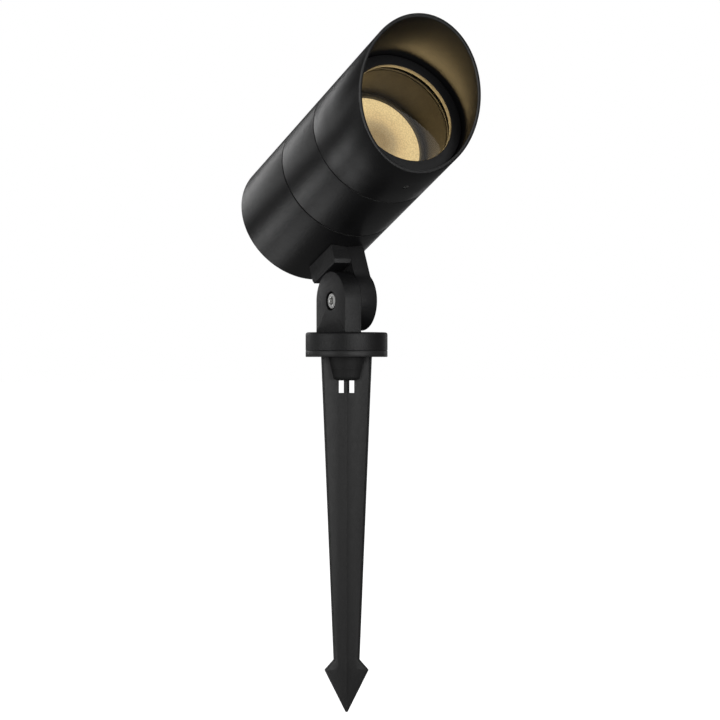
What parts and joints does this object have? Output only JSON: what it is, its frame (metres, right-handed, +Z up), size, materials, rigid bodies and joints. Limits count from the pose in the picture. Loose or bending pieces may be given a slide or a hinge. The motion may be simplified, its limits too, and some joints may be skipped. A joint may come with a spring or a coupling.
{
  "type": "light projector stake",
  "caption": "Garden spotlight on a ground spike: turned metal lamp head with a slant-cut cowl, knuckle joint and round base over a ribbed, barbed spike.",
  "frame": {"origin": "on the spike's axis at the underside of the spike's flange, the ground line", "axes": "+Z up along the spike's axis; the beam points to -Y and 25 degrees up; the hinge axis lies along X with the screw's head on the -X side"},
  "size_m": [0.076, 0.1495, 0.3804],
  "materials": {
    "black_powder_coat": "fine-texture satin black powder coat on aluminium",
    "black_nylon": "moulded black glass-filled nylon",
    "stainless_steel": "plain stainless steel",
    "brass": "turned brass",
    "black_rubber": "matt black rubber",
    "fibre": "pressed fibre",
    "cover_glass": "clear toughened glass",
    "lens_clear": "clear moulded optic, glowing warm white",
    "board_white": "white solder mask",
    "emitter_yellow": "yellow phosphor under silicone",
    "driver_grey": "light grey moulded case",
    "pad_blue": "soft blue thermal pad",
    "lead_red": "red wire insulation",
    "lead_black": "black wire insulation"
  },
  "bodies": {
    "spike": {"spike": "black_nylon", "spike_insert": "brass", "cable_grommet": "black_rubber"},
    "base": {"base_disc": "black_powder_coat", "base_post": "black_powder_coat", "post_screw_front": "stainless_steel", "post_screw_rear": "stainless_steel", "base_stud": "brass", "base_gasket": "black_rubber", "hinge_screw": "stainless_steel", "hinge_washer": "stainless_steel", "friction_disc": "fibre", "knuckle_seal": "black_rubber"},
    "head": {"head_bracket": "black_powder_coat", "bracket_seal": "black_rubber", "bracket_screw_front": "stainless_steel", "bracket_screw_rear": "stainless_steel", "hinge_nut": "stainless_steel", "rear_housing": "black_powder_coat", "driver_case": "driver_grey", "driver_screw_1": "stainless_steel", "driver_screw_2": "stainless_steel", "rear_oring": "black_rubber", "mid_body": "black_powder_coat", "thermal_pad": "pad_blue", "led_board": "board_white", "led_emitter": "emitter_yellow", "board_screw_1": "stainless_steel", "board_screw_2": "stainless_steel", "board_screw_3": "stainless_steel", "led_lead_red": "lead_red", "led_lead_black": "lead_black", "lens_holder": "black_nylon", "lens": "lens_clear", "lamp_barrel": "black_powder_coat", "front_oring": "black_rubber", "glass_gasket": "black_rubber", "cover_glass": "cover_glass", "bezel": "black_powder_coat"},
    "cowl": {"cowl": "black_powder_coat", "cowl_grub_screw": "stainless_steel"}
  },
  "joints": [
    {"name": "base_swivel", "type": "hinge", "parent": "spike", "child": "base", "pos_m": [0, 0, 0], "axis": [0, 0, 1], "range_deg": [-180, 180]},
    {"name": "head_tilt", "type": "hinge", "parent": "base", "child": "head", "pos_m": [0, 0, 0.0311], "axis": [-1, 0, 0], "range_deg": [-45, 65]},
    {"name": "cowl_turn", "type": "hinge", "parent": "head", "child": "cowl", "pos_m": [0, 0.02747, 0.09001], "axis": [0, -0.9063, 0.4226], "range_deg": [-180, 180]}
  ]
}
